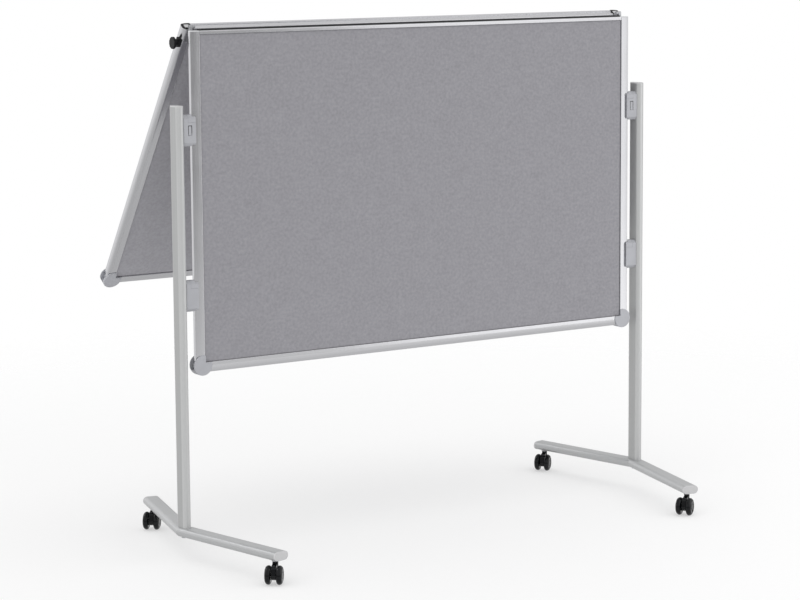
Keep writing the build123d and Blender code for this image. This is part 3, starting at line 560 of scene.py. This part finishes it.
def stretched_felt(name, cad_node, body, board, face, color):
    """A felt sheet over the core board, its rim turned down into the frame."""
    middle, along, up = board_axes(cad_node)
    normal = along.cross(up)
    if normal.y * face < 0:
        normal.negate()
    heights = (corners_of(cad_node) - np.array(middle)) @ np.array(normal)
    thickness = 2 * np.abs(heights).max()
    data = mesh_data(name, cloth_mesh(middle, along, up, normal, thickness))
    data.shade_smooth()
    data.set_sharp_from_angle(angle=SHARP_ANGLE)
    rotation = Matrix((along, up, normal)).transposed().to_3x3()
    data.materials.append(needle_felt(f"felt_{name}", rotation, color))
    piece = put_in_scene(name, data)
    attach(piece, body)
    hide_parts(cad_node)


for cloth_name, facts in FELTS.items():
    stretched_felt(cloth_name, *facts)

# ---- Small pieces ---------------------------------------------------------------------------

INSERT_PLAY = 0.2 * MM
INSERT_THICKNESS = 0.9 * MM
INSERT_ROUNDING = 0.25 * MM
POCKET_DEPTH = 1.0 * MM  # from the plug's outer face down to the pocket's floor
SAME_LEVEL = 0.05 * MM  # corners this close to a level are on it


def small_piece(name, mesh, body, material):
    """A piece of the scene's own that rides on a body."""
    data = mesh_data(name, mesh)
    data.materials.append(material)
    piece = put_in_scene(name, data)
    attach(piece, body)


def add_plate(mesh, middle, axes, size, rounding):
    """A thin block with softened edges, its middle and its axes given."""
    block = bmesh.ops.create_cube(mesh, size=1.0)["verts"]
    for corner in block:
        corner.co = middle + sum(
            (axis * part * length for axis, part, length in zip(axes, corner.co, size)),
            Vector(),
        )
    edges = dict.fromkeys(edge for corner in block for edge in corner.link_edges)
    bmesh.ops.bevel(
        mesh, geom=list(edges), offset=rounding, segments=2, affect="EDGES", profile=0.5
    )


def plug_inserts():
    """Light plates in the pockets of the rear leaf's end plugs."""
    _, along, up = board_axes("rear_leaf_core")
    axes = (along, up, along.cross(up))
    turn = np.array(axes)
    points = corners_of("rear_leaf_end_plugs") @ turn.T
    mesh = bmesh.new()
    for side in (-1, 1):
        plug = points[points[:, 0] * side > 0]
        pocket_floor = plug[:, 1].max() - POCKET_DEPTH
        base = plug[np.abs(plug[:, 1] - pocket_floor) < SAME_LEVEL]
        low, high = base.min(0), base.max(0)
        middle = (low + high) / 2
        middle[1] = pocket_floor + INSERT_THICKNESS / 2
        size = high - low - 2 * INSERT_PLAY
        size[1] = INSERT_THICKNESS
        add_plate(mesh, Vector(middle @ turn), axes, size, INSERT_ROUNDING)
    small_piece("rear_leaf_plug_inserts", mesh, "rear_leaf",
                moulded("plug_insert_plastic", TUBE_CAP_COLOR, roughness=0.4))


# sizes of the dark arch of painted shade round each release tab
TAB_HALF_WIDTH = 3.3 * MM
WINDOW_HALF_WIDTH = 4.8 * MM
WINDOW_TOP_GAP = 1.5 * MM  # above the release tab
ARCH_PLAY = 0.1 * MM
ARCH_DEPTH = 2.0 * MM
ARCH_HEAD = 1.0 * MM
ARCH_FOOT = 3.9 * MM  # clear of the tab's pivots


def window_painted_shade(side):
    """Painted shade: a dark arch in the gap round a release tab, on the walls of its window."""
    low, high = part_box(f"{side}_release_tab")
    middle = (low[0] + high[0]) / 2
    foot, head = low[2] + ARCH_FOOT, high[2] + WINDOW_TOP_GAP - ARCH_PLAY
    inner, outer = TAB_HALF_WIDTH + ARCH_PLAY, WINDOW_HALF_WIDTH - ARCH_PLAY
    left_leg = [(-outer, foot), (-inner, foot), (-inner, head - ARCH_HEAD), (-outer, head)]
    right_leg = [(inner, head - ARCH_HEAD), (inner, foot), (outer, foot), (outer, head)]
    mesh = bmesh.new()
    left, right = (
        [mesh.verts.new((middle + x, low[1], z)) for x, z in leg]
        for leg in (left_leg, right_leg)
    )
    lintel = (left[2], right[0], right[3], left[3])
    front = [mesh.faces.new(outline) for outline in (left, lintel, right)]
    grown = bmesh.ops.extrude_face_region(mesh, geom=front)["geom"]
    back = [item for item in grown if isinstance(item, bmesh.types.BMVert)]
    bmesh.ops.translate(mesh, verts=back, vec=(0, ARCH_DEPTH, 0))
    bmesh.ops.recalc_face_normals(mesh, faces=mesh.faces)
    # the arch is painted shade in the near-black rubber colour
    small_piece(f"{side}_window_painted_shade", mesh, "stand",
                moulded(f"{side}_gap_painted_shade", RUBBER_COLOR, roughness=0.7))


plug_inserts()
window_painted_shade("left")
window_painted_shade("right")

# ---- Floor ----------------------------------------------------------------------------------

FLOOR_RADIUS = 6.0
FLOOR_CORNERS = 96
FADE_START = 1.5  # distance from the middle where the floor starts to dissolve into the backdrop
FADE_END = 3.0
FLOOR_GLOW = 0.45  # share of the floor's white that no shadow takes away
WHITE = (1.0, 1.0, 1.0)


def floor_finish():
    """Matt white with a soft shadow, dissolving at its rim and unseen by polished metal."""
    material = bpy.data.materials.new("floor")
    g = Graph(material)
    distance = g.add("ShaderNodeVectorMath", operation="LENGTH")
    g.join(g.add("ShaderNodeTexCoord").outputs["Object"], distance.inputs[0])
    paint = g.add("ShaderNodeBsdfDiffuse")
    grain = g.noise(g.place(), scale=60.0, detail=3.0)
    g.join(g.tint(grain, WHITE, dark=0.95, light=0.97), paint.inputs["Color"])
    glow = g.add("ShaderNodeEmission")
    lit = g.mix_shaders(FLOOR_GLOW, paint.outputs[0], glow.outputs[0])
    mirrored = g.add("ShaderNodeLightPath").outputs["Is Glossy Ray"]
    fade = g.between(distance.outputs["Value"], FADE_START, FADE_END, 0, 1)
    nothing = g.add("ShaderNodeBsdfTransparent")
    g.finish(g.mix_shaders(g.math("MAXIMUM", fade, mirrored), lit, nothing.outputs[0]))
    return material


floor_mesh = bmesh.new()
bmesh.ops.create_circle(
    floor_mesh, cap_ends=True, segments=FLOOR_CORNERS, radius=FLOOR_RADIUS
)
floor = put_in_scene("floor", mesh_data("floor", floor_mesh))
floor.data.materials.append(floor_finish())

# ---- World and lamp -------------------------------------------------------------------------
# Matt surfaces get an even light from all round, with more of it from above and from a window.
# Polished metal sees a plain studio: a wall, a softbox, a lit ceiling and a pale ground. The
# camera sees white. An azimuth is clockwise from +Y, seen from above, and a rise is the z of a
# direction of length one.

ROOM_LIGHT = 0.515
SKY_LIGHT = 0.6
SKY_FALLOFF = 1.0
WINDOW_LIGHT = 1.0
WINDOW = Vector((-1.0, -0.3, -0.3)).normalized()  # towards the window
WINDOW_FALLOFF = 2.0

STUDIO_PAINT = (0.8, 0.8, 0.8)  # scales all that polished metal sees
DARK_SIDE = 0.3  # the unlit part of the room
CEILING = 0.55  # added above the horizon, all of it from the ceiling's rise up
CEILING_RISE = 0.2
WALL = 0.75  # added by the lit wall behind the object, at its brightest
WALL_AZIMUTH = math.radians(342)
WALL_FALLOFF = 4.0
SOFTBOX = 0.2  # added by the softbox's glow on the wall at the front right
SOFTBOX_AZIMUTH = math.radians(143)
SOFTBOX_FALLOFF = 14.0
RIG = Vector((-0.4, 0.6, 0.7)).normalized()  # towards the lights overhead
RIG_GLOW = 3.5
RIG_FALLOFF = 120.0
FAR_GROUND = 0.95
NEAR_GROUND = 0.65
NEAR_RISE, FAR_RISE = -0.7, -0.17  # from the object's feet out to the ground's far edge
WALL_RISE = -0.125  # where the wall takes over


def towards(azimuth):
    """Level direction at an azimuth."""
    return Vector((math.sin(azimuth), math.cos(azimuth), 0))


def studio_world():
    """The light on matt surfaces, the studio in polished ones and white for the camera."""
    world = bpy.data.worlds.new("studio")
    g = Graph(world)
    direction = g.add("ShaderNodeTexCoord").outputs["Generated"]

    def facing(axis):
        dot = g.add("ShaderNodeVectorMath", operation="DOT_PRODUCT")
        g.join(direction, dot.inputs[0])
        dot.inputs[1].default_value = axis
        return dot.outputs["Value"]

    def lobe(axis, falloff, height):
        return g.times(g.math("POWER", g.math("MAXIMUM", facing(axis), 0.0), falloff), height)

    def light(strength, color=WHITE):
        background = g.add("ShaderNodeBackground")
        background.inputs["Color"].default_value = (*color, 1)
        g.feed(background.inputs["Strength"], strength)
        return background.outputs[0]

    rise = facing(UP)
    walls = g.total(
        g.between(rise, 0.0, CEILING_RISE, DARK_SIDE, DARK_SIDE + CEILING),
        lobe(towards(WALL_AZIMUTH), WALL_FALLOFF, WALL),
        lobe(towards(SOFTBOX_AZIMUTH), SOFTBOX_FALLOFF, SOFTBOX),
        lobe(RIG, RIG_FALLOFF, RIG_GLOW),
    )
    ground = g.between(rise, NEAR_RISE, FAR_RISE, NEAR_GROUND, FAR_GROUND)
    ground_share = g.between(rise, FAR_RISE, WALL_RISE, 1, 0)
    room = g.total(
        g.times(walls, g.math("SUBTRACT", 1.0, ground_share)), g.times(ground, ground_share)
    )
    soft = g.total(
        lobe(WINDOW, WINDOW_FALLOFF, WINDOW_LIGHT), lobe(UP, SKY_FALLOFF, SKY_LIGHT), ROOM_LIGHT
    )
    path = g.add("ShaderNodeLightPath")
    mirrored = g.math(
        "MAXIMUM", path.outputs["Is Glossy Ray"], path.outputs["Is Transmission Ray"]
    )
    lighting = g.mix_shaders(mirrored, light(soft), light(room, STUDIO_PAINT))
    g.finish(
        g.mix_shaders(path.outputs["Is Camera Ray"], lighting, light(1.0)),
        "ShaderNodeOutputWorld",
    )
    return world


LAMP_PLACE = Vector((1.9, -1.3, 1.1))  # at the front right
LAMP_AIM = Vector((0.5, 0, 0.8))
LAMP_SIDE = 2.4
LAMP_POWER = 10  # watts

bpy.context.scene.world = studio_world()
lamp_data = bpy.data.lights.new("softbox", "AREA")
lamp_data.shape = "SQUARE"
lamp_data.size = LAMP_SIDE
lamp_data.energy = LAMP_POWER
lamp = put_in_scene("softbox", lamp_data)
lamp.location = LAMP_PLACE
lamp.rotation_euler = (LAMP_AIM - LAMP_PLACE).to_track_quat("-Z", "Y").to_euler()

bpy.context.scene.view_settings.view_transform = "Standard"
